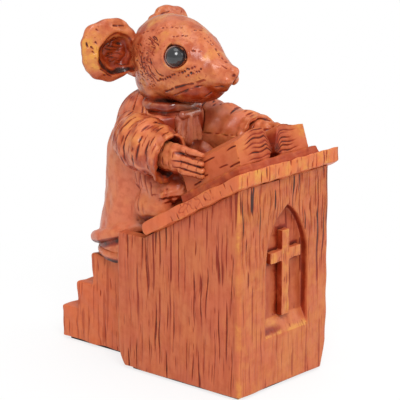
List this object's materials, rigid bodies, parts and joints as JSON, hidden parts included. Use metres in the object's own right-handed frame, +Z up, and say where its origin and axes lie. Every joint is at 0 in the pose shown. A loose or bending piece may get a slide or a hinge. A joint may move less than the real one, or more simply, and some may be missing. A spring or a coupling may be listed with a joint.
{
  "type": "mouse figurine",
  "caption": "Carved-look resin ornament of a robed mouse reading from an open book at a small pulpit, with steps behind it and a cross in a pointed niche in front.",
  "frame": {"origin": "under the middle of the bounding box, on the face that the ornament rests on", "axes": "+Z up, the pulpit's front faces -Y and the steps run out to +Y"},
  "size_m": [0.0374, 0.065, 0.0848],
  "materials": {
    "pulpit_resin": "terracotta-painted cast resin, carved grain with a dark wash, satin",
    "robe_resin": "terracotta-painted cast resin under semi-gloss varnish",
    "mouse_resin": "warm orange painted cast resin under gloss varnish, dark dashes",
    "collar_resin": "pinkish painted cast resin under gloss varnish",
    "book_resin": "painted cast resin, page lines with a dark wash, satin",
    "eye_bead": "polished black bead",
    "dowel_steel": "plain steel dowel",
    "felt": "dark felt"
  },
  "bodies": {
    "root": {"felt_pad": "felt", "pulpit_box": "pulpit_resin", "niche_cross": "pulpit_resin", "stair_block": "pulpit_resin", "stair_pins": "dowel_steel", "desk_top": "pulpit_resin", "desk_pins": "dowel_steel", "book_cover": "book_resin", "right_pages": "book_resin", "left_pages": "book_resin", "cassock": "robe_resin", "robe": "robe_resin", "neck_peg": "dowel_steel", "collar": "collar_resin", "bands": "collar_resin", "head": "mouse_resin", "right_eye": "eye_bead", "left_eye": "eye_bead", "right_ear": "mouse_resin", "left_ear": "mouse_resin", "right_sleeve": "robe_resin", "left_sleeve": "robe_resin", "right_paw": "mouse_resin", "left_paw": "mouse_resin"}
  },
  "joints": []
}
